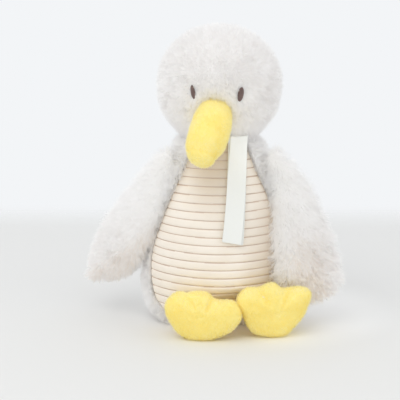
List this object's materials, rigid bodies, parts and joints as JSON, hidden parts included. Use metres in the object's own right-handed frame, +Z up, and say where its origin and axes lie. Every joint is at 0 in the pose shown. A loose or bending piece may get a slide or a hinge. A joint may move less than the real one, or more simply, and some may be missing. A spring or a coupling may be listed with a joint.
{
  "type": "plush sea bird",
  "caption": "Sitting plush sea bird with a round fluffy head, drooping stuffed beak, ribbed belly panel, long wings, webbed feet and a bare ribbon loop at the neck.",
  "frame": {"origin": "on the floor under the middle of the body, on the flat underside of the base panel", "axes": "+Z up, the bird looks along -Y, its left side is +X"},
  "size_m": [0.1961, 0.1273, 0.23],
  "materials": {
    "plush": "long-pile off-white plush",
    "ribbed": "wide-rib cream corduroy",
    "yellow": "short-pile soft yellow velboa",
    "brown": "satin stitch embroidery thread",
    "ribbon": "white satin ribbon",
    "stuffing": "polyester fibre fill",
    "pellets": "woven bag of plastic pellets"
  },
  "bodies": {
    "body": {"belly_panel": "ribbed", "body_panel_right": "plush", "body_panel_left": "plush", "base_panel": "plush", "body_stuffing": "stuffing", "pellet_bag": "pellets", "leg_right_cover": "yellow", "leg_right_stuffing": "stuffing", "leg_left_cover": "yellow", "leg_left_stuffing": "stuffing"},
    "neck": {"neck_stuffing": "stuffing"},
    "head": {"head_gusset": "plush", "head_side_right": "plush", "head_side_left": "plush", "head_stuffing": "stuffing", "eye_embroidery_left": "brown", "eye_embroidery_right": "brown"},
    "beak": {"beak_upper_panel": "yellow", "beak_lower_panel": "yellow", "beak_stuffing": "stuffing"},
    "wing_right": {"wing_right_front": "plush", "wing_right_back": "plush", "wing_right_stuffing": "stuffing"},
    "wing_left": {"wing_left_front": "plush", "wing_left_back": "plush", "wing_left_stuffing": "stuffing"},
    "foot_right": {"foot_right_sole": "yellow", "foot_right_upper": "yellow", "foot_right_stuffing": "stuffing"},
    "foot_left": {"foot_left_sole": "yellow", "foot_left_upper": "yellow", "foot_left_stuffing": "stuffing"},
    "ribbon": {"ribbon_loop": "ribbon"}
  },
  "joints": [
    {"name": "neck_turn", "type": "hinge", "parent": "body", "child": "neck", "pos_m": [0, 0, 0.118], "axis": [0, 0, 1], "range_deg": [-25, 25], "stiffness_Nm_per_rad": 0.12},
    {"name": "head_nod", "type": "hinge", "parent": "neck", "child": "head", "pos_m": [0, 0, 0.118], "axis": [1, 0, 0], "range_deg": [-10, 6], "stiffness_Nm_per_rad": 0.5},
    {"name": "beak_lift", "type": "hinge", "parent": "head", "child": "beak", "pos_m": [-0.0046, -0.037, 0.169], "axis": [-1, 0, 0], "range_deg": [0, 16], "stiffness_Nm_per_rad": 0.03},
    {"name": "wing_right_lift", "type": "hinge", "parent": "body", "child": "wing_right", "pos_m": [-0.042, -0.0155, 0.128], "axis": [0, 1, 0], "range_deg": [0, 45], "stiffness_Nm_per_rad": 0.08},
    {"name": "wing_left_lift", "type": "hinge", "parent": "body", "child": "wing_left", "pos_m": [0.0432, -0.019, 0.128], "axis": [0, -1, 0], "range_deg": [0, 75], "stiffness_Nm_per_rad": 0.08},
    {"name": "foot_right_tip", "type": "hinge", "parent": "body", "child": "foot_right", "pos_m": [-0.013, -0.0635, 0.0095], "axis": [0.9925, -0.1219, 0], "range_deg": [0, 75], "stiffness_Nm_per_rad": 0.04},
    {"name": "foot_left_tip", "type": "hinge", "parent": "body", "child": "foot_left", "pos_m": [0.0428, -0.0555, 0.0095], "axis": [0.9816, 0.1908, 0], "range_deg": [0, 75], "stiffness_Nm_per_rad": 0.04},
    {"name": "ribbon_swing", "type": "hinge", "parent": "body", "child": "ribbon", "pos_m": [0.0136, -0.0275, 0.1436], "axis": [-0.8988, -0.4384, 0], "range_deg": [0, 15]}
  ]
}
